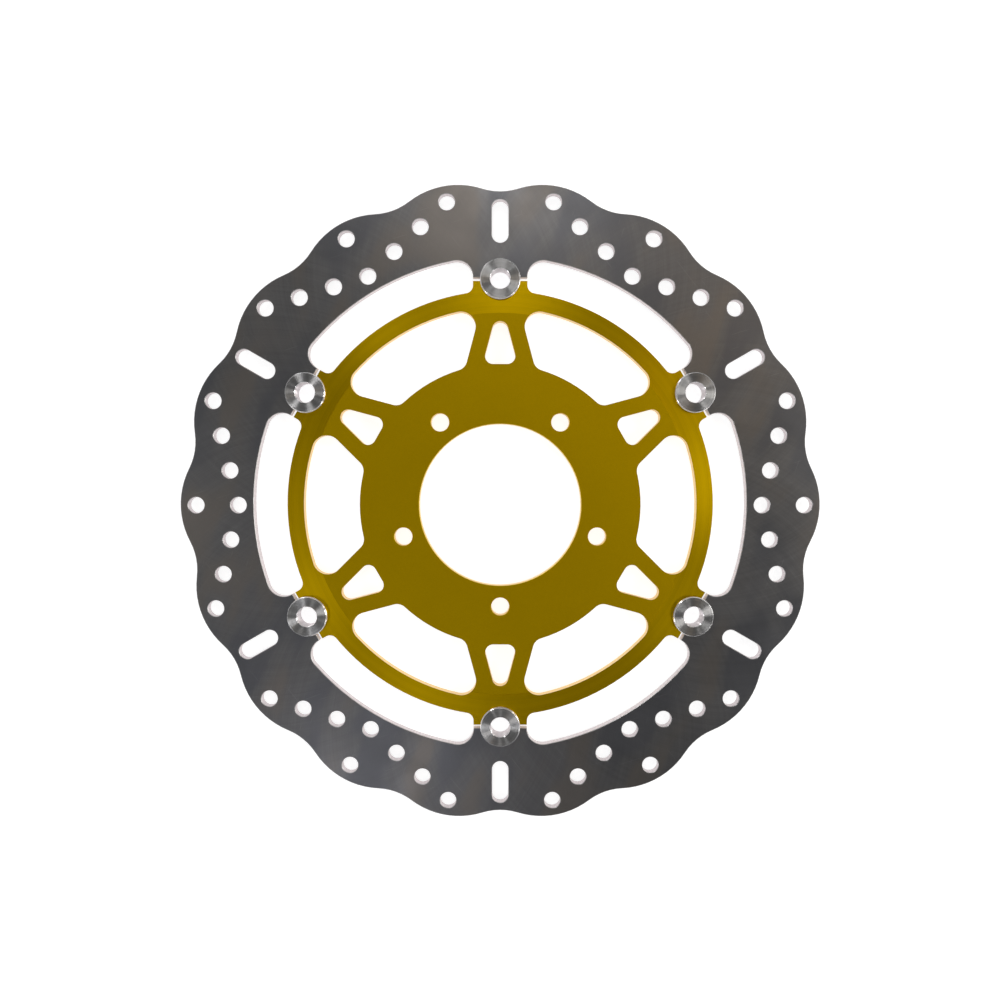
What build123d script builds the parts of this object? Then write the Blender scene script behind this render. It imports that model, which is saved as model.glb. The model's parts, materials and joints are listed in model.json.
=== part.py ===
from build123d import *
import math
import os

# Floating brake disc for a motorcycle. Lengths are in millimetres and angles in degrees.
# The disc lies flat: +Z is its axis, towards the face seen on the bike, and the origin is
# the centre of the hub bore, halfway through the disc's thickness. +X points at a lobe.

# Braking band
disc_diameter = 320.0            # across the lobe peaks
disc_thickness = 4.5
band_width = 36.75               # lobe peak to the band's inner circle
lobe_count = 18
lobe_depth = 5.0                 # lobe peak to valley
valley_arc_radius = 30.0
edge_break = 0.25                # chamfer on machined edges
cut_margin = 1.0                 # a cut from outside starts this far off the surface

# Holes and slots through the band
band_hole_diameter = 8.1
outer_hole_inset = 7.9           # lobe peak to the outer holes
inner_hole_inset = 7.75          # inner circle to the foot of each V of holes
holes_in_each_arm = 2            # between the foot of a V and the outer holes it ends at
slot_length = 21.2
slot_width = 8.2
slot_inset = 3.9                 # lobe valley to the slot's outer end

# Drives that join the band to the carrier
drive_count = 6
drive_inset = 11.25              # band's inner circle to the drive circle
drive_gap = 1.75                 # tab's end to ear's end
drive_clearance = 0.10           # button's body to the notch it slides in, each side
button_width = 14.0              # square body, and the round spigot below it
button_corner_radius = 2.5
notch_corner_radius = 2.0
drive_wall = 6.5                 # tab or ear on each side of the button
tab_land = 0.35                  # straight end left on a tab's side by its fillet
ear_fillet = 4.0

# Carrier
ear_root = 5.6                   # drive circle to the carrier ring's outer edge
ring_width = 8.2                 # carrier ring
rim_inset = 2.7                  # large window's outer arc to the edge of the turned rim
hub_step = 0.25                  # hub stands this far above the rim, on each face
bore_diameter = 81.0
bolt_circle_diameter = 102.0
bolt_count = 5
first_bolt_angle = -90.0
bolt_hole_diameter = 9.0
hub_margin = 19.2                # bolt circle to the windows
leg_angle = 15.0                 # each leg leans this far from its ear's radius
leg_width = 7.85
leg_meeting_inset = 9.2          # drive circle to where a pair of legs' inner sides would meet
small_window_fillet = 4.0
window_outer_fillet = 7.4
window_inner_fillet = 5.7

# Drive button and the washers and ring on its spigot
head_overhang = 3.0              # head beyond the square body's sides
head_thickness = 1.5
head_edge_break = 0.4
button_hole_diameter = 10.0
body_relief = 0.1                # body stops this far short of the discs' back face
tail_length = 0.5                # spigot beyond the retaining ring
tail_edge_break = 0.3
washer_clearance = 0.10          # radial, on the spigot
washer_thickness = 0.8
spring_clearance = 0.25          # radial, on the spigot
spring_rest_height = 0.9
spring_sheet = 0.5
spring_rim_inset = 0.5           # spring's edge inside the thrust washer's
spring_land = 0.3                # flat where the spring meets its neighbours
retaining_ring_thickness = 1.0
retaining_ring_width = 1.9
groove_depth = 0.3
groove_play = 0.1                # axial
ring_seat_clearance = 0.05       # radial, in the groove
ring_gap_angle = 40.0
lug_radius = 1.5
lug_hole_diameter = 1.3

# Radii and levels that follow from the sizes above
peak_radius = disc_diameter / 2
valley_radius = peak_radius - lobe_depth
band_inner_radius = peak_radius - band_width
drive_radius = band_inner_radius - drive_inset
tab_end_radius = drive_radius + drive_gap / 2
ear_end_radius = drive_radius - drive_gap / 2
drive_arm_width = button_width + 2 * drive_wall
notch_width = button_width + 2 * drive_clearance
ring_outer_radius = drive_radius - ear_root
window_outer_radius = ring_outer_radius - ring_width
rim_inner_radius = window_outer_radius - rim_inset
window_inner_radius = bolt_circle_diameter / 2 + hub_margin
leg_meeting_radius = drive_radius - leg_meeting_inset
head_radius = button_width / 2 + head_overhang
spigot_radius = button_width / 2
groove_radius = spigot_radius - groove_depth

sector_angle = 360 / drive_count
lobe_angle = 360 / lobe_count
first_drive_angle = sector_angle / 2

disc_top = disc_thickness / 2
disc_bottom = -disc_top
hub_top = disc_top + hub_step
washer_bottom = disc_bottom - washer_thickness
spring_bottom = washer_bottom - spring_rest_height
retaining_ring_bottom = spring_bottom - retaining_ring_thickness
button_bottom = retaining_ring_bottom - tail_length


def polar(radius, angle):
    """A point in the plane of the disc."""
    return Vector(radius * math.cos(math.radians(angle)), radius * math.sin(math.radians(angle)))


def sector_angles():
    """The middle of each sector between two drives."""
    return [index * sector_angle for index in range(drive_count)]


def drive_angles():
    return [first_drive_angle + index * sector_angle for index in range(drive_count)]


def at_drive(angle):
    """The place of a drive, with X pointing away from the disc's centre."""
    return Rot(0, 0, angle) * Pos(drive_radius, 0, 0)


def cylinder_between(radius, low, high):
    return extrude(Pos(0, 0, low) * Circle(radius), high - low)


def drive_arm(inner_radius, outer_radius):
    """A straight arm on the +X radius, between two distances from the centre."""
    middle = (inner_radius + outer_radius) / 2
    return Pos(middle, 0) * Rectangle(outer_radius - inner_radius, drive_arm_width)


def drive_notches():
    """The square opening at each drive, shared by a tab and the ear that faces it."""
    notch = RectangleRounded(notch_width, notch_width, notch_corner_radius)
    return [at_drive(angle) * notch for angle in drive_angles()]


def corners_near(sketch, radius, half_width):
    """The outline's corners at a given radius, on the sides of the drive arms."""
    found = []
    for corner in sketch.vertices():
        place = Vector(corner.X, corner.Y)
        offsets = [place.rotate(Axis.Z, -angle) for angle in drive_angles()]
        on_side = any(abs(abs(p.Y) - half_width) < 0.01 and p.X > 0 for p in offsets)
        if on_side and abs(place.length - radius) < 0.01:
            found.append(corner)
    return found


def lobed_outline():
    """The wavy outside of the band: lobes and valleys are arcs that meet at a tangent."""
    half_pitch = lobe_angle / 2
    valley_centre = valley_radius + valley_arc_radius
    reach = valley_centre * math.cos(math.radians(half_pitch))
    lobe_arc_radius = (
        (peak_radius**2 + valley_centre**2 - 2 * peak_radius * reach - valley_arc_radius**2)
        / (2 * (peak_radius - reach + valley_arc_radius))
    )
    lobe_centre = Vector(peak_radius - lobe_arc_radius, 0)
    towards_valley = (polar(valley_centre, half_pitch) - lobe_centre).normalized()
    joint = lobe_centre + towards_valley * lobe_arc_radius
    joint_angle = math.degrees(math.atan2(joint.Y, joint.X))
    arcs = []
    for index in range(lobe_count):
        peak = index * lobe_angle
        start = polar(joint.length, peak - joint_angle)
        end = polar(joint.length, peak + joint_angle)
        next_start = polar(joint.length, peak + lobe_angle - joint_angle)
        arcs.append(ThreePointArc(start, polar(peak_radius, peak), end))
        arcs.append(ThreePointArc(end, polar(valley_radius, peak + half_pitch), next_start))
    return make_face(arcs)


def band_hole_places():
    """Outer holes near the lobe peaks, and two straight arms of holes to each V's foot."""
    outer_radius = peak_radius - outer_hole_inset
    foot_radius = band_inner_radius + inner_hole_inset
    places = [polar(outer_radius, index * lobe_angle) for index in range(lobe_count)]
    steps = holes_in_each_arm + 1
    for angle in sector_angles():
        foot = polar(foot_radius, angle)
        places.append(foot)
        for side in (-1, 1):
            arm = polar(outer_radius, angle + side * lobe_angle) - foot
            places.extend(foot + arm * (step / steps) for step in range(1, steps))
    return places


def tab_fillet_radius():
    """The fillet that runs from the band's inner circle down to the land at a tab's end."""
    half_width = drive_arm_width / 2
    land_radius = tab_end_radius + tab_land
    return (
        (band_inner_radius**2 - half_width**2 - land_radius**2)
        / (2 * (band_inner_radius + half_width))
    )


def rotor_ring():
    """The stainless braking band, with its inward tabs, holes and slots."""
    outline = lobed_outline() - Circle(band_inner_radius)
    tab = drive_arm(tab_end_radius, band_inner_radius + drive_wall)
    for angle in drive_angles():
        outline += Rot(0, 0, angle) * tab
    tab_corners = corners_near(outline, band_inner_radius, drive_arm_width / 2)
    outline = fillet(tab_corners, tab_fillet_radius())
    slot_centre = valley_radius - slot_inset - slot_length / 2
    slot = Pos(slot_centre, 0) * SlotOverall(slot_length, slot_width)
    outline -= [Rot(0, 0, angle) * slot for angle in drive_angles()]
    hole = Circle(band_hole_diameter / 2)
    outline -= [Pos(place) * hole for place in band_hole_places()]
    outline -= drive_notches()
    ring = extrude(Pos(0, 0, disc_bottom) * outline, disc_thickness)
    faces = ring.faces().sort_by(Axis.Z)
    return chamfer(faces[0].edges() + faces[-1].edges(), edge_break)


def large_window():
    """The window on the +X radius, between the legs of two neighbouring ears."""
    side_angle = sector_angle / 2 + leg_angle
    side_distance = leg_meeting_radius * math.sin(math.radians(leg_angle)) + leg_width
    apex = side_distance / math.sin(math.radians(side_angle))
    reach = window_outer_radius * 2
    wedge = make_face(Polyline((apex, 0), Vector(apex, 0) + polar(reach, side_angle),
                               Vector(apex, 0) + polar(reach, -side_angle), close=True))
    window = (Circle(window_outer_radius) - Circle(window_inner_radius)) & wedge
    window = fillet(window.vertices().group_by(Axis.X)[-1], window_outer_fillet)
    inner_corners = window.vertices().sort_by_distance((0, 0))[:2]
    return fillet(inner_corners, window_inner_fillet)


def small_window():
    """The rounded triangle on the +X radius, between the two legs of one ear."""
    half_base = (leg_meeting_radius - window_inner_radius) * math.tan(math.radians(leg_angle))
    triangle = make_face(Polyline((leg_meeting_radius, 0), (window_inner_radius, half_base),
                                  (window_inner_radius, -half_base), close=True))
    return fillet(triangle.vertices(), small_window_fillet)


def bolt_holes():
    bolt_angles = [first_bolt_angle + index * 360 / bolt_count for index in range(bolt_count)]
    hole = Circle(bolt_hole_diameter / 2)
    return [Pos(polar(bolt_circle_diameter / 2, angle)) * hole for angle in bolt_angles]


def carrier():
    """The aluminium spider that bolts to the wheel's hub and drives the band at its ears."""
    outline = Circle(ring_outer_radius)
    ear = drive_arm(window_outer_radius, ear_end_radius)
    for angle in drive_angles():
        outline += Rot(0, 0, angle) * ear
    ear_corners = corners_near(outline, ring_outer_radius, drive_arm_width / 2)
    outline = fillet(ear_corners, ear_fillet)
    outline -= Circle(bore_diameter / 2)
    outline -= bolt_holes()
    outline -= [Rot(0, 0, angle) * large_window() for angle in sector_angles()]
    outline -= [Rot(0, 0, angle) * small_window() for angle in drive_angles()]
    outline -= drive_notches()
    hub_thickness = disc_thickness + 2 * hub_step
    plate = extrude(Pos(0, 0, -hub_top) * outline, hub_thickness)
    rim = Circle(drive_radius) - Circle(rim_inner_radius)
    plate -= extrude(Pos(0, 0, disc_top) * rim, hub_step)
    plate -= extrude(Pos(0, 0, -hub_top) * rim, hub_step)
    round_edges = plate.edges().filter_by(GeomType.CIRCLE)
    bored = (bore_diameter / 2, bolt_hole_diameter / 2)
    broken = [edge for edge in round_edges if min(abs(edge.radius - size) for size in bored) < 0.01]
    return chamfer(broken, edge_break)


def drive_button():
    """A headed button: square where it drives, round where the washers and ring sit."""
    head = cylinder_between(head_radius, disc_top, disc_top + head_thickness)
    head = chamfer(head.edges().group_by(Axis.Z)[-1], head_edge_break)
    square = RectangleRounded(button_width, button_width, button_corner_radius)
    body_bottom = disc_bottom + body_relief
    body = extrude(Pos(0, 0, body_bottom) * square, disc_top - body_bottom)
    spigot = cylinder_between(spigot_radius, button_bottom, body_bottom)
    spigot = chamfer(spigot.edges().group_by(Axis.Z)[0], tail_edge_break)
    groove = Circle(spigot_radius + cut_margin) - Circle(groove_radius)
    groove_width = retaining_ring_thickness + groove_play
    spigot -= extrude(Pos(0, 0, retaining_ring_bottom) * groove, groove_width)
    button = head + body + spigot
    button -= cylinder_between(button_hole_diameter / 2, button_bottom, disc_top + head_thickness)
    hole_edges = button.edges().filter_by(
        lambda edge: edge.geom_type == GeomType.CIRCLE
        and abs(edge.radius - button_hole_diameter / 2) < 0.01
    )
    return chamfer(hole_edges, edge_break)


def thrust_washer():
    washer = Circle(head_radius) - Circle(spigot_radius + washer_clearance)
    return extrude(Pos(0, 0, washer_bottom) * washer, washer_thickness)


def spring_washer():
    """A conical spring: its rim bears on the thrust washer, its middle on the ring."""
    inner = spigot_radius + spring_clearance
    outer = head_radius - spring_rim_inset
    section = Polyline(
        (inner, 0, spring_bottom),
        (inner + spring_land, 0, spring_bottom),
        (outer, 0, washer_bottom - spring_sheet),
        (outer, 0, washer_bottom),
        (outer - spring_land, 0, washer_bottom),
        (inner, 0, spring_bottom + spring_sheet),
        close=True,
    )
    return revolve(make_face(section), Axis.Z)


def retaining_ring():
    """An open ring in the spigot's groove, with a lug and a hole at each end."""
    inner = groove_radius + ring_seat_clearance
    outer = inner + retaining_ring_width
    reach = 2 * outer
    half_gap = ring_gap_angle / 2
    opening = make_face(Polyline((0, 0), polar(reach, -half_gap), polar(reach, half_gap), close=True))
    ring = Circle(outer) - Circle(inner) - opening
    for side in (-1, 1):
        lug_place = Pos(polar(inner + lug_radius, side * half_gap))
        ring += lug_place * Circle(lug_radius)
        ring -= lug_place * Circle(lug_hole_diameter / 2)
    ring -= Circle(inner)
    return extrude(Pos(0, 0, retaining_ring_bottom) * ring, retaining_ring_thickness)


def main():
    os.makedirs("parts", exist_ok=True)
    export_step(rotor_ring(), "parts/rotor_ring.step")
    export_step(carrier(), "parts/carrier.step")
    pieces = {
        "drive_button": drive_button(),
        "thrust_washer": thrust_washer(),
        "spring_washer": spring_washer(),
        "retaining_ring": retaining_ring(),
    }
    for name, piece in pieces.items():
        for number, angle in enumerate(drive_angles(), start=1):
            export_step(at_drive(angle) * piece, f"parts/{name}_{number}.step")


main()
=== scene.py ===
"""Looks of a floating motorcycle brake disc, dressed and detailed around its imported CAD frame."""

from __future__ import annotations

import json
import logging
import math
from dataclasses import dataclass
from enum import Enum

import bpy
from mathutils import Matrix, Vector

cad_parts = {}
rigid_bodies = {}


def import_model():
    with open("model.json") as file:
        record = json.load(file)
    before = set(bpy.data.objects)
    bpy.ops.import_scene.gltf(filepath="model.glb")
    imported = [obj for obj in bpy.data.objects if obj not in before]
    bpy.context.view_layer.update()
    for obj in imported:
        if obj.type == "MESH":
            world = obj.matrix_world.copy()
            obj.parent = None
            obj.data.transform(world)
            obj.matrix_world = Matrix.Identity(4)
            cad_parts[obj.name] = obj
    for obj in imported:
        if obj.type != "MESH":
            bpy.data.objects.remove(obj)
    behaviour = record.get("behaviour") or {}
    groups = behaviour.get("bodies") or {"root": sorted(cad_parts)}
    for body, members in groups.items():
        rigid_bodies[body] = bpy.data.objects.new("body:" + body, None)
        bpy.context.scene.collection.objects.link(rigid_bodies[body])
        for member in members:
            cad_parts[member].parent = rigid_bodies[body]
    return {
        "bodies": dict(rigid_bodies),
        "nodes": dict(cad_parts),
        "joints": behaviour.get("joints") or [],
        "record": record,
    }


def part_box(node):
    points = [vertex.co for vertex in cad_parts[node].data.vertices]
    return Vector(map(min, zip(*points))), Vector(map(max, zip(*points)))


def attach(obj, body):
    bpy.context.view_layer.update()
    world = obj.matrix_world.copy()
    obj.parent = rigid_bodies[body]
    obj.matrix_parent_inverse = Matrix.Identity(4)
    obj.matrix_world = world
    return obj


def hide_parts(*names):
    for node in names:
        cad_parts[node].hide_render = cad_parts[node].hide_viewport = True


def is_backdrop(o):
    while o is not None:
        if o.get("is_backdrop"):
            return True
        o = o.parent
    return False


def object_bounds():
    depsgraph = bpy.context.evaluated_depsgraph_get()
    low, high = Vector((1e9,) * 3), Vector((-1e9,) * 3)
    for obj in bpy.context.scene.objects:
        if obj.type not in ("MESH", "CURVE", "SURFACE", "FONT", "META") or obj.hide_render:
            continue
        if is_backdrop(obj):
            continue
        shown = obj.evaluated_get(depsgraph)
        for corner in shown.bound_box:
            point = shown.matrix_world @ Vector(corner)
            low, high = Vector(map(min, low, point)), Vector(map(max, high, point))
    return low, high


LOG = logging.getLogger("brake_disc")
MM = 0.001
MERGE_DISTANCE = 0.001 * MM
ACROSS_THE_RINGS = 0.25  # a quarter turn: gloss spreads across turned rings, not along them
FACE_SPAN = (0.9, 0.99)  # how upright a normal is from where an edge turns into a flat face
WALL_SPAN = (0.15, 0.35)  # and from where a wall turns into an edge
SMUDGE_SPAN = (0.35, 0.65)
RIM_BLUR = 0.05  # half the width of the line between hub and rim, in mm
DRIVE_PITCH_RADIUS = 112.0  # in mm
FIRST_DRIVE_BEARING = 30.0
DRIVE_COUNT = 6


class Maths(Enum):
    """Operations of a Math node."""

    ADD = "ADD"
    SUBTRACT = "SUBTRACT"
    MULTIPLY = "MULTIPLY"
    DIVIDE = "DIVIDE"
    MULTIPLY_ADD = "MULTIPLY_ADD"
    ABSOLUTE = "ABSOLUTE"
    SQUARE_ROOT = "SQRT"
    SINE = "SINE"
    COSINE = "COSINE"
    BEARING = "ARCTAN2"
    WRAP = "WRAP"
    LARGER = "MAXIMUM"


class Join(Enum):
    """Ways a solid changes another."""

    ADD = "UNION"
    CUT = "DIFFERENCE"


@dataclass(frozen=True)
class Tone:
    """A colour in linear light."""

    red: float
    green: float
    blue: float

    def rgba(self) -> tuple[float, float, float, float]:
        """Gives the colour with full opacity."""
        return (self.red, self.green, self.blue, 1.0)

    def times(self, share: float) -> Tone:
        """Gives the colour made lighter or darker by a share."""
        return Tone(self.red * share, self.green * share, self.blue * share)


class Canvas:
    """Adds nodes to one shader tree and joins them."""

    def __init__(self, tree: bpy.types.NodeTree) -> None:
        """Starts on a tree.

        Args:
            tree: The tree of a material, a world or a node group.
        """
        self.tree = tree

    def node(self, kind: str, **settings: object) -> bpy.types.Node:
        """Adds a node.

        Args:
            kind: Blender's type name of the node.
            **settings: Properties to set on it.

        Returns:
            The new node.
        """
        made = self.tree.nodes.new(kind)
        for name, value in settings.items():
            setattr(made, name, value)
        return made

    def feed(self, socket: bpy.types.NodeSocket, value: object) -> None:
        """Joins a socket to another, or sets its value.

        Args:
            socket: The input to feed.
            value: An output socket, a Tone, or a plain value.
        """
        if isinstance(value, bpy.types.NodeSocket):
            self.tree.links.new(value, socket)
        elif isinstance(value, Tone):
            socket.default_value = value.rgba()
        else:
            socket.default_value = value

    def maths(self, operation: Maths, *values: object, clamp: bool = False) -> bpy.types.NodeSocket:
        """Adds a Math node.

        Args:
            operation: What it does.
            *values: Its inputs, in order.
            clamp: Whether the result stays between 0 and 1.

        Returns:
            Its output.
        """
        made = self.node("ShaderNodeMath", operation=operation.value, use_clamp=clamp)
        for socket, value in zip(made.inputs, values):
            self.feed(socket, value)
        return made.outputs[0]

    def span(
        self, value: object, low: float, high: float, start: float = 0.0, end: float = 1.0
    ) -> bpy.types.NodeSocket:
        """Turns one span of values smoothly into another.

        Args:
            value: What is turned.
            low: Where the incoming span starts.
            high: Where it ends.
            start: The result at low.
            end: The result at high.

        Returns:
            The new value.
        """
        made = self.node("ShaderNodeMapRange", interpolation_type="SMOOTHSTEP")
        for socket, number in zip(made.inputs, (value, low, high, start, end)):
            self.feed(socket, number)
        return made.outputs[0]

    def blend(self, share: object, first: object, second: object) -> bpy.types.NodeSocket:
        """Lays one colour over another.

        Args:
            share: How much of the second colour shows.
            first: The lower colour.
            second: The upper colour.

        Returns:
            The combined colour.
        """
        made = self.node("ShaderNodeMix", data_type="RGBA", blend_type="MIX")
        self.feed(made.inputs[0], share)
        self.feed(made.inputs[6], first)
        self.feed(made.inputs[7], second)
        return made.outputs[2]

    def noise(
        self, place: object, scale: float, detail: float = 2.0, roughness: float = 0.5
    ) -> bpy.types.NodeSocket:
        """Adds soft noise in three dimensions.

        Args:
            place: Where it is read.
            scale: How often it changes in one unit of place.
            detail: How many finer layers it has.
            roughness: How strong those layers are.

        Returns:
            The noise, about 0.5.
        """
        made = self.node("ShaderNodeTexNoise")
        self.feed(made.inputs["Vector"], place)
        self.feed(made.inputs["Scale"], scale)
        self.feed(made.inputs["Detail"], detail)
        self.feed(made.inputs["Roughness"], roughness)
        return made.outputs[0]

    def noise_along(self, distance: object, scale: float, detail: float = 3.0) -> bpy.types.NodeSocket:
        """Adds noise that changes along one distance only.

        Args:
            distance: The distance it changes with.
            scale: How often it changes in one unit of distance.
            detail: How many finer layers it has.

        Returns:
            The noise, about 0.5.
        """
        made = self.node("ShaderNodeTexNoise", noise_dimensions="1D")
        self.feed(made.inputs["W"], distance)
        self.feed(made.inputs["Scale"], scale)
        self.feed(made.inputs["Detail"], detail)
        return made.outputs[0]

    def split(self, vector: bpy.types.NodeSocket) -> tuple[bpy.types.NodeSocket, ...]:
        """Gives the x, y and z of a vector."""
        made = self.node("ShaderNodeSeparateXYZ")
        self.feed(made.inputs[0], vector)
        return tuple(made.outputs)

    def gather(self, x: object, y: object, z: object) -> bpy.types.NodeSocket:
        """Gives the vector with that x, y and z."""
        made = self.node("ShaderNodeCombineXYZ")
        for socket, value in zip(made.inputs, (x, y, z)):
            self.feed(socket, value)
        return made.outputs[0]

    def stretch(
        self, vector: bpy.types.NodeSocket, scale: tuple[float, float, float], turn: float = 0.0
    ) -> bpy.types.NodeSocket:
        """Turns a pattern and sets the size of its marks.

        Args:
            vector: The place.
            scale: The size of a mark along its own x, y and z.
            turn: The angle about z, in degrees.

        Returns:
            The new place.
        """
        made = self.node("ShaderNodeMapping", vector_type="TEXTURE")
        self.feed(made.inputs["Vector"], vector)
        self.feed(made.inputs["Rotation"], (0.0, 0.0, math.radians(turn)))
        self.feed(made.inputs["Scale"], scale)
        return made.outputs[0]

    def product(self, first: object, second: object) -> bpy.types.NodeSocket:
        """Multiplies two values."""
        return self.maths(Maths.MULTIPLY, first, second)

    def about_zero(self, mask: object, swing: float) -> bpy.types.NodeSocket:
        """Turns a mask about 0.5 into one about 0 with a given swing."""
        return self.maths(Maths.MULTIPLY_ADD, mask, swing, -0.5 * swing)

    def bump(self, strength: float, depth: float, height: object) -> bpy.types.NodeSocket:
        """Turns a height into a normal.

        Args:
            strength: How much of the bump shows.
            depth: The depth of a whole step of height, in metres.
            height: What is raised and sunk.

        Returns:
            The bent normal.
        """
        made = self.node("ShaderNodeBump")
        self.feed(made.inputs["Strength"], strength)
        self.feed(made.inputs["Distance"], depth)
        self.feed(made.inputs["Height"], height)
        return made.outputs[0]

    def spread_across_rings(self, shader: bpy.types.Node, anisotropy: float) -> None:
        """Spreads a shader's gloss across turned rings about the disc's axis.

        Args:
            shader: The shader.
            anisotropy: How uneven the spread is.
        """
        self.feed(shader.inputs["Anisotropic"], anisotropy)
        self.feed(shader.inputs["Anisotropic Rotation"], ACROSS_THE_RINGS)
        tangent = self.node("ShaderNodeTangent", direction_type="RADIAL", axis="Z")
        self.feed(shader.inputs["Tangent"], tangent.outputs[0])

    def place_group(self, group: bpy.types.NodeTree, **inputs: object) -> bpy.types.Node:
        """Adds a node group.

        Args:
            group: The shared group.
            **inputs: What feeds it, by socket name.

        Returns:
            The group's node.
        """
        made = self.node("ShaderNodeGroup", node_tree=group)
        for name, value in inputs.items():
            self.feed(made.inputs[name], value)
        return made


class SharedEffects:
    """Node groups that several finishes use, each built once."""

    WAVE_SHARE = 0.22  # of the tool's even wave in the height of turned rings
    FINE_SHARE = 0.6  # of fine marks in a shade, where broad ones take the rest
    LAYERS = ((1.0, 0.0), (-1.0, 7.3))  # the side of each family of arcs, and its own noise
    SCRATCHES = ((17.0, 14.0), (71.0, 9.0), (128.0, 18.0))  # direction in degrees and length in mm
    SCRATCH_WIDTH = 0.45
    SCRATCH_DEPTH = 8.0

    def __init__(self) -> None:
        """Builds every group."""
        self.disc_place = self._disc_place()
        self.drive_place = self._drive_place()
        self.regions = self._regions()
        self.turning = self._turning()
        self.grinding = self._grinding()
        self.handling = self._handling()

    @staticmethod
    def _start(
        name: str, inputs: dict[str, float | None], outputs: dict[str, bool]
    ) -> tuple[Canvas, bpy.types.Node, bpy.types.Node]:
        """Makes an empty group with its sockets.

        Args:
            name: The group's name.
            inputs: Each input and its value, or None for a vector.
            outputs: Each output, and whether it is a vector.

        Returns:
            The canvas, the node that brings values in and the node that puts them out.
        """
        tree = bpy.data.node_groups.new(name, "ShaderNodeTree")
        for label, value in inputs.items():
            kind = "NodeSocketVector" if value is None else "NodeSocketFloat"
            socket = tree.interface.new_socket(label, in_out="INPUT", socket_type=kind)
            if value is not None:
                socket.default_value = value
        for label, is_vector in outputs.items():
            kind = "NodeSocketVector" if is_vector else "NodeSocketFloat"
            tree.interface.new_socket(label, in_out="OUTPUT", socket_type=kind)
        canvas = Canvas(tree)
        return canvas, canvas.node("NodeGroupInput"), canvas.node("NodeGroupOutput")

    def _disc_place(self) -> bpy.types.NodeTree:
        """Turns a place in metres into millimetres and a radius from the disc's axis."""
        canvas, into, out = self._start(
            "disc_place", {"Place": None}, {"Millimetres": True, "Radius": False}
        )
        scaled = canvas.node("ShaderNodeVectorMath", operation="SCALE")
        canvas.feed(scaled.inputs[0], into.outputs["Place"])
        canvas.feed(scaled.inputs["Scale"], 1.0 / MM)
        flat = canvas.node("ShaderNodeVectorMath", operation="MULTIPLY")
        canvas.feed(flat.inputs[0], scaled.outputs[0])
        canvas.feed(flat.inputs[1], (1.0, 1.0, 0.0))
        radius = canvas.node("ShaderNodeVectorMath", operation="LENGTH")
        canvas.feed(radius.inputs[0], flat.outputs[0])
        canvas.feed(out.inputs["Millimetres"], scaled.outputs[0])
        canvas.feed(out.inputs["Radius"], radius.outputs["Value"])
        return canvas.tree

    def _drive_place(self) -> bpy.types.NodeTree:
        """Gives the radius from the nearest drive's own axis, by folding all sectors into one."""
        canvas, into, out = self._start(
            "drive_place",
            {
                "Millimetres": None,
                "Radius": 0.0,
                "Pitch Radius": DRIVE_PITCH_RADIUS,
                "Drives": float(DRIVE_COUNT),
            },
            {"Local Radius": False},
        )
        x, y, _ = canvas.split(into.outputs["Millimetres"])
        bearing = canvas.maths(Maths.BEARING, y, x)
        sector = canvas.maths(Maths.DIVIDE, math.tau, into.outputs["Drives"])
        folded = canvas.maths(Maths.WRAP, bearing, sector, 0.0)
        half = canvas.product(sector, 0.5)
        turned = canvas.maths(Maths.SUBTRACT, folded, half)
        along = canvas.product(into.outputs["Radius"], canvas.maths(Maths.COSINE, turned))
        out_by = canvas.maths(Maths.SUBTRACT, along, into.outputs["Pitch Radius"])
        across = canvas.product(into.outputs["Radius"], canvas.maths(Maths.SINE, turned))
        square = canvas.product(out_by, out_by)
        total = canvas.maths(Maths.MULTIPLY_ADD, across, across, square)
        canvas.feed(out.inputs["Local Radius"], canvas.maths(Maths.SQUARE_ROOT, total))
        return canvas.tree

    def _regions(self) -> bpy.types.NodeTree:
        """Tells flat faces, broken edges and upright walls apart by their normals."""
        canvas, into, out = self._start(
            "regions", {"Normal": None}, {"Face": False, "Edge": False, "Wall": False}
        )
        upright = canvas.maths(Maths.ABSOLUTE, canvas.split(into.outputs["Normal"])[2])
        face = canvas.span(upright, *FACE_SPAN)
        wall = canvas.span(upright, *WALL_SPAN, 1.0, 0.0)
        rest = canvas.maths(Maths.SUBTRACT, 1.0, face)
        canvas.feed(out.inputs["Face"], face)
        canvas.feed(out.inputs["Wall"], wall)
        canvas.feed(out.inputs["Edge"], canvas.maths(Maths.SUBTRACT, rest, wall, clamp=True))
        return canvas.tree

    def _turning(self) -> bpy.types.NodeTree:
        """Makes the fine rings that a lathe tool leaves, uneven as feed and tool wear make them."""
        canvas, into, out = self._start(
            "turning", {"Radius": 0.0, "Pitch": 0.4}, {"Height": False, "Shade": False}
        )
        turns = canvas.maths(Maths.DIVIDE, into.outputs["Radius"], into.outputs["Pitch"])
        wave = canvas.maths(Maths.SINE, canvas.product(turns, math.tau))
        fine = canvas.noise_along(turns, scale=1.7, detail=3.0)
        broad = canvas.noise_along(turns, scale=0.13, detail=2.0)
        ridge = canvas.maths(Maths.MULTIPLY_ADD, wave, self.WAVE_SHARE, fine)
        canvas.feed(out.inputs["Height"], ridge)
        canvas.feed(out.inputs["Shade"], self._shade(canvas, fine, broad))
        return canvas.tree

    def _shade(self, canvas: Canvas, fine: object, broad: object) -> bpy.types.NodeSocket:
        """Mixes fine and broad marks into one shade about 0.5."""
        rest = canvas.product(broad, 1.0 - self.FINE_SHARE)
        return canvas.maths(Maths.MULTIPLY_ADD, fine, self.FINE_SHARE, rest)

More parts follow.
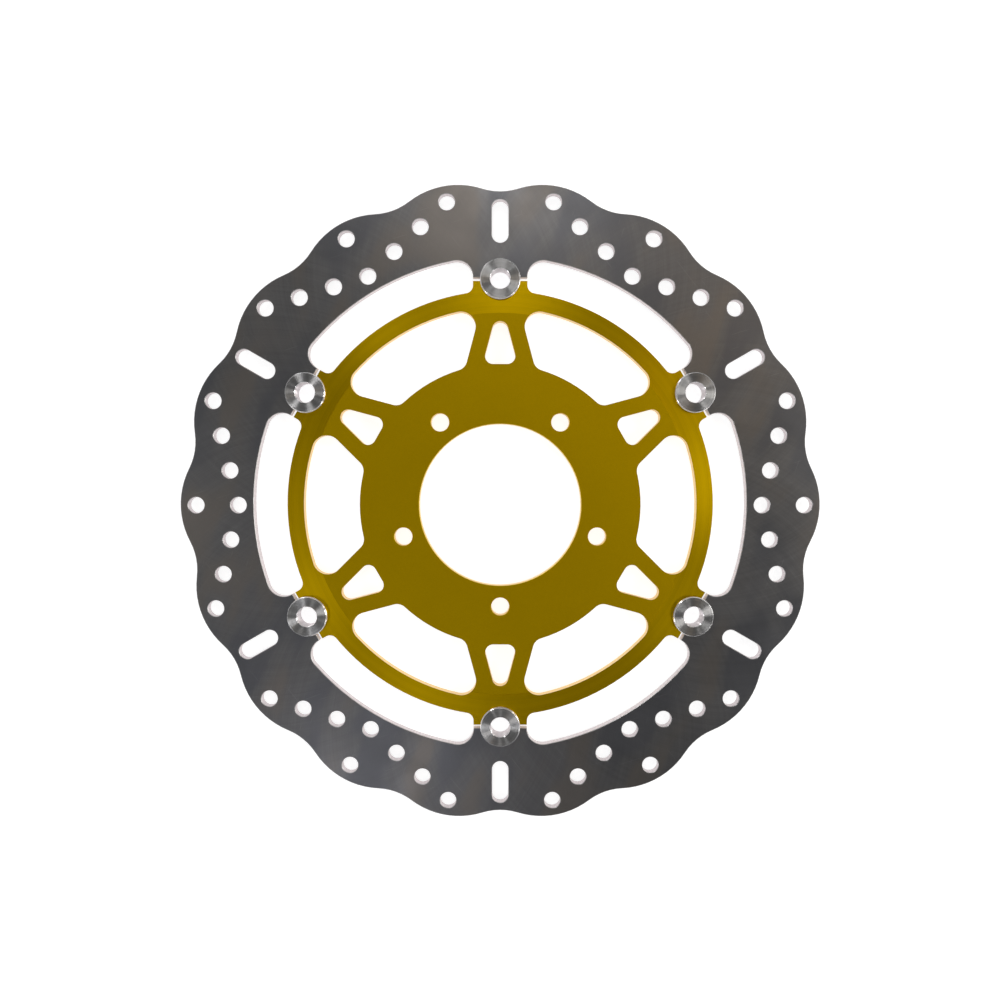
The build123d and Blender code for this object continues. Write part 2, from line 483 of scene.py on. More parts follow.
    def _grinding(self) -> bpy.types.NodeTree:
        """Makes the crossed arcs of a cup grinding wheel that passed over a turning disc."""
        canvas, into, out = self._start(
            "grinding",
            {"Millimetres": None, "Radius": 1.0, "Wheel": 130.0, "Offset": 150.0, "Lines": 300.0},
            {"Height": False, "Shade": False},
        )
        x, y, _ = canvas.split(into.outputs["Millimetres"])
        radius = into.outputs["Radius"]
        wheel = into.outputs["Wheel"]
        offset = into.outputs["Offset"]
        squares = canvas.maths(Maths.MULTIPLY_ADD, radius, radius, canvas.product(offset, offset))
        top = canvas.maths(Maths.SUBTRACT, squares, canvas.product(wheel, wheel))
        bottom = canvas.product(canvas.product(radius, 2.0), offset)
        cosine = canvas.maths(Maths.DIVIDE, top, bottom)
        left = canvas.maths(Maths.SUBTRACT, 1.0, canvas.product(cosine, cosine))
        sine = canvas.maths(Maths.SQUARE_ROOT, canvas.maths(Maths.LARGER, left, 0.0))
        unit_x = canvas.maths(Maths.DIVIDE, x, radius)
        unit_y = canvas.maths(Maths.DIVIDE, y, radius)
        fine = []
        broad = []
        for side, layer in self.LAYERS:
            swing = canvas.product(sine, side)
            near = canvas.maths(Maths.MULTIPLY_ADD, unit_x, cosine, canvas.product(unit_y, swing))
            far = canvas.maths(
                Maths.SUBTRACT, canvas.product(unit_y, cosine), canvas.product(unit_x, swing)
            )
            place = canvas.gather(
                canvas.product(near, into.outputs["Lines"]),
                canvas.product(far, into.outputs["Lines"]),
                layer,
            )
            fine.append(canvas.noise(place, scale=1.0, detail=3.0, roughness=0.6))
            broad.append(canvas.noise(place, scale=0.08, detail=2.0, roughness=0.5))
        height = canvas.product(canvas.maths(Maths.ADD, *fine), 0.5)
        patches = canvas.product(canvas.maths(Maths.ADD, *broad), 0.5)
        canvas.feed(out.inputs["Height"], height)
        canvas.feed(out.inputs["Shade"], self._shade(canvas, height, patches))
        return canvas.tree

    def _handling(self) -> bpy.types.NodeTree:
        """Makes the smudges, grain and stray hairline scratches of a part that has been handled."""
        canvas, into, out = self._start(
            "handling", {"Millimetres": None}, {"Smudge": False, "Grain": False, "Scratch": False}
        )
        place = into.outputs["Millimetres"]
        smudge = canvas.noise(place, scale=0.035, detail=4.0, roughness=0.55)
        canvas.feed(out.inputs["Smudge"], smudge)
        grain = canvas.noise(place, scale=2.6, detail=2.0, roughness=0.6)
        canvas.feed(out.inputs["Grain"], grain)
        marks = []
        for turn, length in self.SCRATCHES:
            run = canvas.stretch(place, (length, self.SCRATCH_WIDTH, self.SCRATCH_DEPTH), turn)
            streak = canvas.noise(run, scale=1.0, detail=1.0, roughness=0.4)
            marks.append(canvas.span(streak, low=0.74, high=0.79))
        widest = canvas.maths(Maths.LARGER, marks[0], marks[1])
        canvas.feed(out.inputs["Scratch"], canvas.maths(Maths.LARGER, widest, marks[2]))
        return canvas.tree


@dataclass(frozen=True)
class Start:
    """A new material: its shader, its place on the disc, its regions and the shared groups."""

    canvas: Canvas
    shader: bpy.types.Node
    place: bpy.types.Node
    region: bpy.types.Node
    effects: SharedEffects


@dataclass(frozen=True)
class Finish:
    """A metal finish. Each kind adds its own marks to what all of them share."""

    name: str
    face: Tone
    # wall and edge: lighter copies of the metal where a finish paints light, walls lit by the floor and
    # edges as painted highlights
    wall: Tone
    edge: Tone
    face_roughness: float
    wall_roughness: float
    edge_roughness: float

    def material(self, effects: SharedEffects) -> bpy.types.Material:
        """Builds the finish.

        Args:
            effects: The shared node groups.

        Returns:
            The finished material.
        """
        made = bpy.data.materials.new(self.name)
        made.use_nodes = True
        canvas = Canvas(made.node_tree)
        shader = made.node_tree.nodes["Principled BSDF"]
        canvas.feed(shader.inputs["Metallic"], 1.0)
        where = canvas.node("ShaderNodeTexCoord")
        place = canvas.place_group(effects.disc_place, Place=where.outputs["Object"])
        region = canvas.place_group(effects.regions, Normal=where.outputs["Normal"])
        self.dress(Start(canvas, shader, place, region, effects))
        made.diffuse_color = self.face.rgba()
        made.metallic = 1.0
        made.roughness = self.face_roughness
        return made

    def by_region_with_painted_light(
        self, canvas: Canvas, region: bpy.types.Node, face: object
    ) -> tuple[bpy.types.NodeSocket, bpy.types.NodeSocket]:
        """Mixes the colour and roughness of faces, walls and edges. Where the wall and edge colours are
        lighter than the face, they are painted light: walls lit by the pale floor, and painted
        highlights on the edges.

        Args:
            canvas: The material's canvas.
            region: The node that tells them apart.
            face: The colour of the faces.

        Returns:
            The colour and the roughness.
        """
        # painted light: walls and edges take lighter copies of the face's metal
        with_painted_wall_light = canvas.blend(region.outputs["Wall"], face, self.wall)
        colour = canvas.blend(region.outputs["Edge"], with_painted_wall_light, self.edge)
        rough = self.face_roughness
        step = canvas.maths(
            Maths.MULTIPLY_ADD, region.outputs["Wall"], self.wall_roughness - rough, rough
        )
        edged = canvas.maths(
            Maths.MULTIPLY_ADD, region.outputs["Edge"], self.edge_roughness - rough, step
        )
        return colour, edged

    def dress(self, start: Start) -> None:
        """Feeds the shader. Each kind of finish has its own way.

        Args:
            start: The material as far as all finishes share it.
        """
        raise NotImplementedError


def tinted(canvas: Canvas, colour: Tone, mask: object, low: float, high: float) -> bpy.types.NodeSocket:
    """Makes a colour lighter and darker with a mask.

    Args:
        canvas: The material's canvas.
        colour: The colour.
        mask: A value about 0.5.
        low: The share of the colour where the mask is 0.3.
        high: The share of the colour where the mask is 0.7.

    Returns:
        The varied colour.
    """
    share = canvas.span(mask, 0.3, 0.7)
    return canvas.blend(share, colour.times(low), colour.times(high))


@dataclass(frozen=True)
class GroundSteel(Finish):
    """Stainless band with the crossed arcs of its grinding."""

    wheel_radius: float = 105.0
    wheel_offset: float = 118.0
    lines: float = 900.0
    relief: float = 0.08
    # cool, warm and the zone settings paint broad patches of sheen into the face's colour
    cool: Tone = Tone(0.135, 0.138, 0.150)
    warm: Tone = Tone(0.210, 0.189, 0.168)
    zone_turn: float = -20.0
    zone_share: float = 0.75
    zone_size: tuple[float, float, float] = (30.0, 70.0, 30.0)
    cool_span: tuple[float, float] = (0.38, 0.50)
    warm_span: tuple[float, float] = (0.50, 0.62)
    shade_low: float = 0.85
    shade_high: float = 1.15
    smudge_share: float = 0.16
    smudge_tone: float = 0.7
    smudge_roughness: float = 0.05
    scratch_share: float = 0.14
    striae_size: tuple[float, float, float] = (0.4, 0.4, 8.0)
    striae_span: tuple[float, float] = (0.35, 0.7)
    striae_share: float = 0.35
    striae_tone: float = 0.6
    roughness_swing: float = 0.10
    relief_depth: float = 0.05 * MM

    def dress(self, start: Start) -> None:
        """Feeds the shader with ground marks, smudges and hairline scratches."""
        canvas, shader, region = start.canvas, start.shader, start.region
        millimetres = start.place.outputs["Millimetres"]
        ground = canvas.place_group(
            start.effects.grinding,
            Millimetres=millimetres,
            Radius=start.place.outputs["Radius"],
            Wheel=self.wheel_radius,
            Offset=self.wheel_offset,
            Lines=self.lines,
        )
        handled = canvas.place_group(start.effects.handling, Millimetres=millimetres)
        face = tinted(canvas, self.face, ground.outputs["Shade"], self.shade_low, self.shade_high)
        # painted sheen: broad cool and warm patches laid into the face's colour
        face = self._painted_sheen_zones(canvas, millimetres, face)
        smudge = canvas.span(handled.outputs["Smudge"], *SMUDGE_SPAN)
        dulled = canvas.product(smudge, self.smudge_share)
        face = canvas.blend(dulled, face, self.face.times(self.smudge_tone))
        scratch = canvas.product(handled.outputs["Scratch"], self.scratch_share)
        face = canvas.blend(scratch, face, self.edge)
        colour, rough = self.by_region_with_painted_light(canvas, region, face)
        striae = canvas.noise(canvas.stretch(millimetres, self.striae_size), 1.0, 2.0)
        striped = canvas.product(region.outputs["Wall"], canvas.span(striae, *self.striae_span))
        striped = canvas.product(striped, self.striae_share)
        shaded = canvas.blend(striped, colour, self.wall.times(self.striae_tone))
        canvas.feed(shader.inputs["Base Color"], shaded)
        uneven = canvas.about_zero(ground.outputs["Shade"], self.roughness_swing)
        rough = canvas.maths(Maths.ADD, rough, uneven)
        rough = canvas.maths(Maths.MULTIPLY_ADD, smudge, self.smudge_roughness, rough)
        canvas.feed(shader.inputs["Roughness"], rough)
        normal = canvas.bump(self.relief, self.relief_depth, ground.outputs["Height"])
        canvas.feed(shader.inputs["Normal"], normal)

    def _painted_sheen_zones(
        self, canvas: Canvas, millimetres: bpy.types.NodeSocket, face: bpy.types.NodeSocket
    ) -> bpy.types.NodeSocket:
        """Lays broad cool and warm zones over the face as painted sheen, standing in for the tint that
        reflected warm and cool light gives the ground face.

        Args:
            canvas: The material's canvas.
            millimetres: The place on the disc.
            face: The colour of the face.

        Returns:
            The zoned colour.
        """
        zone = canvas.noise(canvas.stretch(millimetres, self.zone_size, self.zone_turn), 1.0, 2.0)
        cool = canvas.span(zone, *self.cool_span, 1.0, 0.0)
        warm = canvas.span(zone, *self.warm_span)
        cooled = canvas.blend(canvas.product(cool, self.zone_share), face, self.cool)
        return canvas.blend(canvas.product(warm, self.zone_share), cooled, self.warm)


@dataclass(frozen=True)
class Anodised(Finish):
    """Anodised aluminium: satin hub inside, turned rim outside."""

    rim: Tone = Tone(0.585, 0.371, 0.0007)
    rim_radius: float = 95.5
    pitch: float = 0.45
    relief: float = 0.2
    rim_roughness: float = 0.4
    anisotropy: float = 0.7
    satin_low: float = 0.95
    satin_high: float = 1.05
    ring_low: float = 0.9
    ring_high: float = 1.1
    smudge_share: float = 0.12
    smudge_tone: float = 0.8
    satin_swing: float = 0.08
    ring_swing: float = 0.1
    satin_depth: float = 0.02 * MM
    ring_depth: float = 0.03 * MM

    def dress(self, start: Start) -> None:
        """Feeds a satin shader on the hub and the walls, and a turned one on the rim."""
        canvas, shader = start.canvas, start.shader
        millimetres = start.place.outputs["Millimetres"]
        radius = start.place.outputs["Radius"]
        turned = canvas.place_group(start.effects.turning, Radius=radius, Pitch=self.pitch)
        handled = canvas.place_group(start.effects.handling, Millimetres=millimetres)
        smudge = canvas.span(handled.outputs["Smudge"], *SMUDGE_SPAN)
        dulled = canvas.product(smudge, self.smudge_share)
        grain = handled.outputs["Grain"]
        satin = tinted(canvas, self.face, grain, self.satin_low, self.satin_high)
        satin = canvas.blend(dulled, satin, self.face.times(self.smudge_tone))
        colour, rough = self.by_region_with_painted_light(canvas, start.region, satin)
        canvas.feed(shader.inputs["Base Color"], colour)
        uneven = canvas.about_zero(grain, self.satin_swing)
        canvas.feed(shader.inputs["Roughness"], canvas.maths(Maths.ADD, rough, uneven))
        canvas.feed(shader.inputs["Normal"], canvas.bump(self.relief, self.satin_depth, grain))

        rim = canvas.node("ShaderNodeBsdfPrincipled")
        canvas.feed(rim.inputs["Metallic"], 1.0)
        ringed = tinted(canvas, self.rim, turned.outputs["Shade"], self.ring_low, self.ring_high)
        ringed = canvas.blend(dulled, ringed, self.rim.times(self.smudge_tone))
        canvas.feed(rim.inputs["Base Color"], ringed)
        smoothest = self.rim_roughness - 0.5 * self.ring_swing
        streak = canvas.maths(Maths.MULTIPLY_ADD, turned.outputs["Shade"], self.ring_swing, smoothest)
        canvas.feed(rim.inputs["Roughness"], streak)
        canvas.spread_across_rings(rim, self.anisotropy)
        rings = canvas.bump(self.relief, self.ring_depth, turned.outputs["Height"])
        canvas.feed(rim.inputs["Normal"], rings)

        mixed = canvas.node("ShaderNodeMixShader")
        canvas.feed(mixed.inputs[0], self._on_rim(canvas))
        canvas.feed(mixed.inputs[1], shader.outputs[0])
        canvas.feed(mixed.inputs[2], rim.outputs[0])
        canvas.feed(canvas.tree.nodes["Material Output"].inputs["Surface"], mixed.outputs[0])

    def _on_rim(self, canvas: Canvas) -> bpy.types.NodeSocket:
        """Gives 1 on the flat faces outside the rim's radius and 0 elsewhere, with no shared group."""
        where = canvas.node("ShaderNodeTexCoord")
        x, y, _ = canvas.split(where.outputs["Object"])
        squares = canvas.maths(Maths.MULTIPLY_ADD, x, x, canvas.product(y, y))
        radius = canvas.maths(Maths.SQUARE_ROOT, squares)
        inner = (self.rim_radius - RIM_BLUR) * MM
        outer = (self.rim_radius + RIM_BLUR) * MM
        upright = canvas.maths(Maths.ABSOLUTE, canvas.split(where.outputs["Normal"])[2])
        outside = canvas.span(radius, inner, outer)
        return canvas.product(outside, canvas.span(upright, *FACE_SPAN))


@dataclass(frozen=True)
class TurnedSteel(Finish):
    """Small steel parts turned on their own axis: buttons, washers and rings."""

    pitch: float = 0.28
    relief: float = 0.15
    anisotropy: float = 0.0
    shade_low: float = 0.8
    shade_high: float = 1.2
    smudge_share: float = 0.12
    smudge_tone: float = 0.75
    roughness_swing: float = 0.12
    relief_depth: float = 0.05 * MM

    def dress(self, start: Start) -> None:
        """Feeds the shader with rings about each drive's own axis."""
        canvas, shader, region = start.canvas, start.shader, start.region
        millimetres = start.place.outputs["Millimetres"]
        radius = start.place.outputs["Radius"]
        drive = canvas.place_group(start.effects.drive_place, Millimetres=millimetres, Radius=radius)
        local = drive.outputs["Local Radius"]
        turned = canvas.place_group(start.effects.turning, Radius=local, Pitch=self.pitch)
        handled = canvas.place_group(start.effects.handling, Millimetres=millimetres)
        face = tinted(canvas, self.face, turned.outputs["Shade"], self.shade_low, self.shade_high)
        colour, rough = self.by_region_with_painted_light(canvas, region, face)
        smudge = canvas.span(handled.outputs["Smudge"], *SMUDGE_SPAN)
        dulled = canvas.product(smudge, self.smudge_share)
        colour = canvas.blend(dulled, colour, self.face.times(self.smudge_tone))
        canvas.feed(shader.inputs["Base Color"], colour)
        uneven = canvas.about_zero(turned.outputs["Shade"], self.roughness_swing)
        canvas.feed(shader.inputs["Roughness"], canvas.maths(Maths.ADD, rough, uneven))
        height = canvas.product(turned.outputs["Height"], region.outputs["Face"])
        canvas.feed(shader.inputs["Normal"], canvas.bump(self.relief, self.relief_depth, height))
        if self.anisotropy > 0.0:
            canvas.spread_across_rings(shader, self.anisotropy)


def small_steel(
    name: str, tone: Tone, edge: Tone, roughness: tuple[float, float, float]
) -> TurnedSteel:
    """Gives the finish of a small part behind the disc, one tone on its faces and walls.

    Args:
        name: The finish's name.
        tone: The colour of faces and walls.
        edge: The colour of edges, lighter than the faces as a painted highlight.
        roughness: The roughness of faces, walls and edges.

    Returns:
        The finish.
    """
    return TurnedSteel(name, tone, tone, edge, *roughness)


@dataclass(frozen=True)
class FloorFinish:
    """A pale, evenly lit studio table."""

    name: str = "pale_floor"
    tone: Tone = Tone(0.42, 0.42, 0.42)
    glow: float = 0.86
    mottle_scale: float = 9.0
    darkest: float = 0.98
    roughness: float = 0.9
    specular: float = 0.1

    def material(self) -> bpy.types.Material:
        """Builds the finish and returns it."""
        made = bpy.data.materials.new(self.name)
        made.use_nodes = True
        canvas = Canvas(made.node_tree)
        shader = made.node_tree.nodes["Principled BSDF"]
        where = canvas.node("ShaderNodeTexCoord")
        mottle = canvas.noise(where.outputs["Object"], self.mottle_scale, 3.0)
        colour = tinted(canvas, self.tone, mottle, self.darkest, 1.0)
        canvas.feed(shader.inputs["Base Color"], colour)
        canvas.feed(shader.inputs["Roughness"], self.roughness)
        canvas.feed(shader.inputs["Specular IOR Level"], self.specular)
        canvas.feed(shader.inputs["Emission Color"], Tone(1.0, 1.0, 1.0))
        canvas.feed(shader.inputs["Emission Strength"], self.glow)
        return made


@dataclass(frozen=True)
class Softbox:
    """A soft square light that points at the disc's centre."""

    name: str
    bearing: float
    from_zenith: float
    watts: float
    tint: Tone = Tone(1.0, 1.0, 1.0)
    distance: float = 1.4
    size: float = 0.26

    def build(self) -> bpy.types.Object:
        """Makes the light and returns it."""
        lamp = bpy.data.lights.new(self.name, "AREA")
        lamp.shape = "SQUARE"
        lamp.size = self.size
        lamp.energy = self.watts
        lamp.color = self.tint.rgba()[:3]
        made = bpy.data.objects.new(self.name, lamp)
        lean = math.radians(self.from_zenith)
        turn = math.radians(self.bearing)
        made.location = Vector(
            (math.cos(turn) * math.sin(lean), math.sin(turn) * math.sin(lean), math.cos(lean))
        ) * self.distance
        made.rotation_euler = made.location.to_track_quat("Z", "Y").to_euler()
        bpy.context.scene.collection.objects.link(made)
        return made


@dataclass
class Studio:
    """Floor, sky and softboxes."""

    floor_width: float = 8.0
    zenith: float = 0.17
    middle: float = 0.08
    horizon: float = 0.8
    horizon_span: tuple[float, float] = (0.24, 0.36)
    overhead_span: tuple[float, float] = (0.79, 0.91)
    softboxes: tuple[Softbox, ...] = (
        Softbox("right_softbox", 3.0, 58.0, 7.8, Tone(1.0, 0.98, 0.95), size=0.46),
        Softbox("right_upper_softbox", 30.0, 58.0, 1.3, Tone(1.0, 0.96, 0.9)),
        Softbox("right_lower_softbox", 326.0, 58.0, 2.4),
        Softbox("top_softbox", 126.0, 58.0, 3.8),
        Softbox("left_softbox", 208.0, 58.0, 3.4, Tone(0.96, 0.97, 1.0)),
        Softbox("overhead_softbox", 88.0, 30.0, 1.5, Tone(1.0, 0.98, 0.97)),
        Softbox("warm_softbox", 36.0, 31.0, 0.45, Tone(1.0, 0.78, 0.56)),
        Softbox("cool_softbox", 248.0, 30.0, 0.78, Tone(0.92, 0.93, 1.0)),
        Softbox("fill_softbox", 182.0, 30.0, 0.25),
    )

    def build(self, floor_level: float) -> None:
        """Builds the whole studio.

        Args:
            floor_level: Where the floor is, in metres.
        """
        self._floor(floor_level)
        self._sky()
        for softbox in self.softboxes:
            softbox.build()
        LOG.info("studio: floor, sky and %d softboxes", len(self.softboxes))

    def _floor(self, level: float) -> None:
        """Lays the floor at a level."""
        bpy.ops.object.select_all(action="DESELECT")
        bpy.ops.mesh.primitive_plane_add(size=self.floor_width, location=(0.0, 0.0, level))
        floor = bpy.context.object
        floor.name = "studio_floor"
        floor.data.materials.append(FloorFinish().material())
        floor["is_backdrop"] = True

    def _sky(self) -> None:
        """Makes a sky that is dark overhead and pale at the horizon."""
        world = bpy.data.worlds.new("studio_sky")
        world.use_nodes = True
        bpy.context.scene.world = world
        canvas = Canvas(world.node_tree)
        background = world.node_tree.nodes["Background"]
        where = canvas.node("ShaderNodeTexCoord")
        height = canvas.split(where.outputs["Generated"])[2]
        rising = canvas.span(height, *self.horizon_span, self.horizon, self.middle)
        overhead = canvas.span(height, *self.overhead_span, 0.0, self.zenith - self.middle)
        level = canvas.maths(Maths.ADD, rising, overhead)
        canvas.feed(background.inputs["Color"], canvas.gather(level, level, level))
        canvas.feed(background.inputs["Strength"], 1.0)


@dataclass
class ViewCamera:
    """The camera, nearly straight above the disc and close to it."""

    lens: float = 28.74
    sensor: float = 36.0
    aside: float = -0.10 * MM
    eye_up: float = 17.4 * MM
    eye_height: float = 401.3 * MM
    aim_up: float = 2.55 * MM
    nearest: float = 10.0 * MM

    def build(self, face_level: float) -> None:
        """Sets the scene's camera.

        Args:
            face_level: Height of the disc's front face, in metres.
        """
        data = bpy.data.cameras.new("view_camera")
        data.lens = self.lens
        data.sensor_width = self.sensor
        data.clip_start = self.nearest
        made = bpy.data.objects.new("view_camera", data)
        eye = Vector((self.aside, self.eye_up, self.eye_height))
        aim = Vector((self.aside, self.aim_up, face_level))
        made.location = eye
        made.rotation_euler = (math.atan2(aim.y - eye.y, eye.z - aim.z), 0.0, 0.0)
        bpy.context.scene.collection.objects.link(made)
        bpy.context.scene.camera = made
        LOG.info("camera: %.0f mm above the face", (eye.z - face_level) / MM)


@dataclass(frozen=True)
class Dressed:
    """CAD nodes whose shape is right and which only get a finish."""

    label: str
    nodes: tuple[str, ...]
    finish: Finish

    def dress(self, frame: dict, effects: SharedEffects) -> None:
        """Gives the finish to every node.

        Args:
            effects: The shared node groups.
        """
        made = self.finish.material(effects)
        for name in self.nodes:
            node = frame["nodes"][name]
            for slot in node.material_slots:
                slot.material = made
        LOG.info("%s: %d pieces in %s", self.label, len(self.nodes), self.finish.name)


@dataclass(frozen=True)
class Drives:
    """Where the drives are, and how a part modelled once is copied to each of them."""

    pitch_radius: float = DRIVE_PITCH_RADIUS * MM
    first_bearing: float = FIRST_DRIVE_BEARING
    count: int = DRIVE_COUNT
    smooth_angle: float = 32.0

    def copy(
        self, pattern: bpy.types.Object, name: str, node: str, finish: Finish, effects: SharedEffects
    ) -> None:
        """Gives a part its finish, puts a copy of it at each drive and removes the pattern.

        Args:
            pattern: The part on the Z axis.
            name: What the name of each copy starts with.
            node: What the name of each CAD node that a copy stands for starts with.
            finish: The finish.
            effects: The shared node groups.
        """
        pattern.data.materials.clear()
        pattern.data.materials.append(finish.material(effects))
        bpy.ops.object.select_all(action="DESELECT")
        pattern.select_set(True)
        bpy.context.view_layer.objects.active = pattern
        bpy.ops.object.shade_smooth_by_angle(angle=math.radians(self.smooth_angle))
        for number in range(1, self.count + 1):
            bearing = math.radians(self.first_bearing + (number - 1) * 360.0 / self.count)
            mesh = pattern.data.copy()
            turn = Matrix.Rotation(bearing, 4, "Z")
            mesh.transform(turn @ Matrix.Translation((self.pitch_radius, 0.0, 0.0)))
            piece = bpy.data.objects.new(f"{name}_{number}", mesh)
            bpy.context.scene.collection.objects.link(piece)
            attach(piece, f"button_{number}")
            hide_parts(f"{node}_{number}")
        LOG.info("%s: %d copies of %d faces", name, self.count, len(pattern.data.polygons))
        bpy.data.objects.remove(pattern)


@dataclass
class DriveButtons:
    """Six headed buttons: a turned head and spigot on a square driving body."""

    finish: Finish
    drives: Drives
    head_radius: float = 10.0 * MM
    head_top: float = 3.75 * MM
    head_break: float = 0.4 * MM
    seat: float = 2.25 * MM
    hole_radius: float = 5.0 * MM
    hole_break: float = 0.25 * MM
    groove_pitch: float = 0.4 * MM
    groove_depth: float = 0.012 * MM
    body_width: float = 14.0 * MM
    body_corner: float = 2.5 * MM
    body_foot: float = -2.15 * MM
    core_radius: float = 6.0 * MM
    spigot_radius: float = 7.0 * MM
    ring_groove_radius: float = 6.7 * MM
    ring_groove_top: float = -3.85 * MM
    ring_groove_foot: float = -4.95 * MM
    tail: float = -5.45 * MM
    tail_break: float = 0.3 * MM
    segments: int = 96
    corner_segments: int = 8

    def _profile(self) -> list[tuple[float, float]]:
        """Gives the turned section as radius and height, round from the hole's upper edge."""
        top = self.head_top
        points = [(self.hole_radius, top - self.hole_break), (self.hole_radius + self.hole_break, top)]
        radius = self.hole_radius + self.hole_break + 0.5 * self.groove_pitch
        last = self.head_radius - self.head_break - self.groove_pitch
        while radius < last:
            points.append((radius, top))
            points.append((radius + 0.5 * self.groove_pitch, top - self.groove_depth))
            radius += self.groove_pitch
        points += [
            (self.head_radius - self.head_break, top),
            (self.head_radius, top - self.head_break),
            (self.head_radius, self.seat),
            (self.core_radius, self.seat),
            (self.core_radius, self.body_foot),
            (self.spigot_radius, self.body_foot),
            (self.spigot_radius, self.ring_groove_top),
            (self.ring_groove_radius, self.ring_groove_top),
            (self.ring_groove_radius, self.ring_groove_foot),
            (self.spigot_radius, self.ring_groove_foot),
            (self.spigot_radius, self.tail + self.tail_break),
            (self.spigot_radius - self.tail_break, self.tail),
            (self.hole_radius + self.hole_break, self.tail),
            (self.hole_radius, self.tail + self.hole_break),
        ]
        return points

    def _body(self) -> bpy.types.Object:
        """Makes the square driving body with rounded corners and room for the turned core."""
        height = self.seat - self.body_foot
        middle = 0.5 * (self.seat + self.body_foot)
        bpy.ops.object.select_all(action="DESELECT")
        bpy.ops.mesh.primitive_cube_add(size=1.0, location=(0.0, 0.0, middle))
        made = bpy.context.object
        bpy.ops.object.mode_set(mode="EDIT")
        bpy.ops.mesh.select_all(action="SELECT")
        bpy.ops.transform.resize(
            value=(self.body_width, self.body_width, height), center_override=(0.0, 0.0, middle)
        )
        bpy.ops.mesh.select_mode(type="EDGE")
        bpy.ops.mesh.select_all(action="DESELECT")
        bpy.ops.object.mode_set(mode="OBJECT")
        bpy.ops.object.transform_apply(location=True)
        for edge in made.data.edges:
            ends = [made.data.vertices[index].co for index in edge.vertices]
            edge.select = abs(ends[0].z - ends[1].z) > 0.5 * height
        bpy.ops.object.mode_set(mode="EDIT")
        bpy.ops.mesh.bevel(offset=self.body_corner, segments=self.corner_segments, affect="EDGES")
        bpy.ops.mesh.select_mode(type="VERT")
        bpy.ops.object.mode_set(mode="OBJECT")
        bpy.ops.object.select_all(action="DESELECT")
        bpy.ops.mesh.primitive_cylinder_add(
            vertices=self.segments,
            radius=0.5 * (self.core_radius + self.hole_radius),
            depth=2.0 * height,
            location=(0.0, 0.0, middle),
        )
        core = bpy.context.object
        combine(made, core, Join.CUT)
        return made

    def build(self, effects: SharedEffects) -> None:
        """Builds one button, then puts a copy of it at each drive.

        Args:
            effects: The shared node groups.
        """
        pattern = turned(self._profile(), self.segments)
        combine(pattern, self._body(), Join.ADD)
        self.drives.copy(pattern, "turned_button", "drive_button", self.finish, effects)


@dataclass
class ConeSprings:
    """Six cone springs, each low enough at rest to clear its washer when the rotor floats."""

    finish: Finish
    drives: Drives
    inner_radius: float = 7.25 * MM
    outer_radius: float = 9.5 * MM
    land: float = 0.3 * MM
    sheet: float = 0.3 * MM
    height: float = 0.55 * MM
    segments: int = 72

    def build(self, effects: SharedEffects) -> None:
        """Builds one spring on its retaining ring, then puts a copy of it at each drive.

        Args:
            effects: The shared node groups.
        """
        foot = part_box("spring_washer_1")[0].z
        top = foot + self.height
        points = [
            (self.inner_radius, foot),
            (self.inner_radius + self.land, foot),
            (self.outer_radius, top - self.sheet),
            (self.outer_radius, top),
            (self.outer_radius - self.land, top),
            (self.inner_radius, foot + self.sheet),
        ]
        pattern = turned(points, self.segments)
        self.drives.copy(pattern, "cone_spring", "spring_washer", self.finish, effects)


def turned(points: list[tuple[float, float]], segments: int) -> bpy.types.Object:
    """Turns a closed section by extruding and scaling one ring from point to point.

    Args:
        points: The section as radius and height, in order round it.
        segments: The number of steps round the axis.

    Returns:
        The turned solid, on the Z axis.
    """
    bpy.ops.object.select_all(action="DESELECT")
    bpy.ops.mesh.primitive_circle_add(
        vertices=segments, radius=points[0][0], location=(0.0, 0.0, points[0][1])
    )
    made = bpy.context.object
    bpy.ops.object.transform_apply(location=True)
    bpy.ops.object.mode_set(mode="EDIT")
    bpy.ops.mesh.select_all(action="SELECT")
    for here, there in zip(points, points[1:] + points[:1]):
        rise = (0.0, 0.0, there[1] - here[1])
        bpy.ops.mesh.extrude_edges_move(TRANSFORM_OT_translate={"value": rise})
        share = there[0] / here[0]
        bpy.ops.transform.resize(value=(share, share, 1.0), center_override=(0.0, 0.0, there[1]))
    bpy.ops.mesh.select_all(action="SELECT")
    bpy.ops.mesh.remove_doubles(threshold=MERGE_DISTANCE)
    bpy.ops.mesh.normals_make_consistent(inside=False)
    bpy.ops.object.mode_set(mode="OBJECT")
    return made


def combine(target: bpy.types.Object, tool: bpy.types.Object, how: Join) -> None:
    """Joins a mesh to another or cuts it away, and removes the tool.

    Args:
        target: The object that is changed.
        tool: The object that is added or cut away.
        how: Whether the tool is added or cut away.
    """
    bpy.ops.object.select_all(action="DESELECT")
    target.select_set(True)
    bpy.context.view_layer.objects.active = target
    modifier = target.modifiers.new("combine", "BOOLEAN")
    modifier.operation = how.value
    modifier.solver = "EXACT"
    modifier.object = tool
    bpy.ops.object.modifier_apply(modifier=modifier.name)
    bpy.data.objects.remove(tool)


def numbered(name: str, count: int = DRIVE_COUNT) -> tuple[str, ...]:
    """Gives the names of repeated nodes.

    Args:
        name: What each name starts with.
        count: How many there are.

    Returns:
        The names, numbered from 1.
    """
    return tuple(f"{name}_{number}" for number in range(1, count + 1))


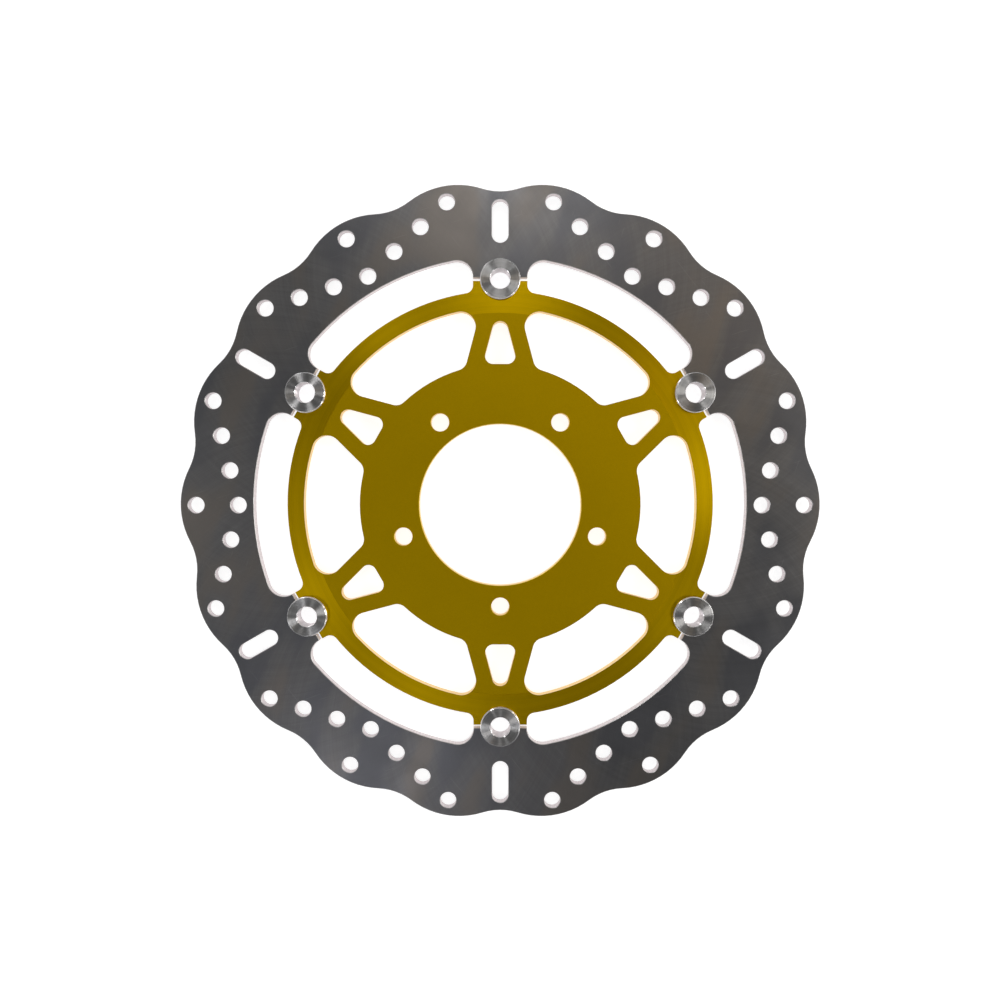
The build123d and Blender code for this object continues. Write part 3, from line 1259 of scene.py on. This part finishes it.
def main(frame: dict) -> None:
    """Builds the whole scene.
    """
    cad_box = [list(corner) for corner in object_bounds()]
    effects = SharedEffects()
    parts = (
        Dressed(
            "rotor",
            ("rotor_ring",),
            GroundSteel(
                "band_steel",
                face=Tone(0.177, 0.174, 0.174),
                wall=Tone(0.74, 0.68, 0.69),
                # wall: painted light, a pale pinkish tone for the floor's light on the hole walls;
                # edge: a painted highlight on the chamfers, also the colour of hairline scratches
                edge=Tone(0.42, 0.41, 0.41),
                face_roughness=0.34,
                wall_roughness=0.5,
                edge_roughness=0.4,
            ),
        ),
        Dressed(
            "carrier",
            ("carrier",),
            Anodised(
                "gold_anodised",
                face=Tone(0.47, 0.30, 0.0006),
                # wall: painted light, a pale gold for the floor's light on the window walls; edge: a
                # painted highlight on the chamfers
                wall=Tone(0.86, 0.63, 0.30),
                edge=Tone(0.62, 0.42, 0.02),
                face_roughness=0.5,
                wall_roughness=0.5,
                edge_roughness=0.35,
            ),
        ),
        Dressed(
            "thrust washers",
            numbered("thrust_washer"),
            small_steel("washer_steel", Tone(0.6, 0.6, 0.6), Tone(0.7, 0.7, 0.7), (0.4, 0.4, 0.3)),
        ),
        Dressed(
            "retaining rings",
            numbered("retaining_ring"),
            small_steel("ring_steel", Tone(0.2, 0.19, 0.18), Tone(0.3, 0.3, 0.3), (0.5, 0.5, 0.4)),
        ),
    )
    for part in parts:
        part.dress(frame, effects)
    bright = TurnedSteel(
        "button_steel",
        face=Tone(0.41, 0.405, 0.40),
        # wall: painted light, a pale tone for the floor's light in the button's hole; edge: a painted
        # highlight, the bright line round the head's chamfer
        wall=Tone(0.80, 0.75, 0.76),
        edge=Tone(0.9, 0.9, 0.9),
        face_roughness=0.38,
        wall_roughness=0.4,
        edge_roughness=0.2,
        relief=0.02,
        anisotropy=1.0,
    )
    sprung = small_steel("spring_steel", Tone(0.4, 0.4, 0.42), Tone(0.5, 0.5, 0.5), (0.35, 0.4, 0.3))
    drives = Drives()
    DriveButtons(bright, drives).build(effects)
    ConeSprings(sprung, drives).build(effects)
    bpy.context.scene.view_settings.view_transform = "Standard"
    Studio().build(cad_box[0][2])
    face_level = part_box("rotor_ring")[1].z
    ViewCamera().build(face_level)


if __name__ == "__main__":
    logging.basicConfig(level=logging.INFO, format="%(name)s: %(message)s")
    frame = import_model()
    main(frame)
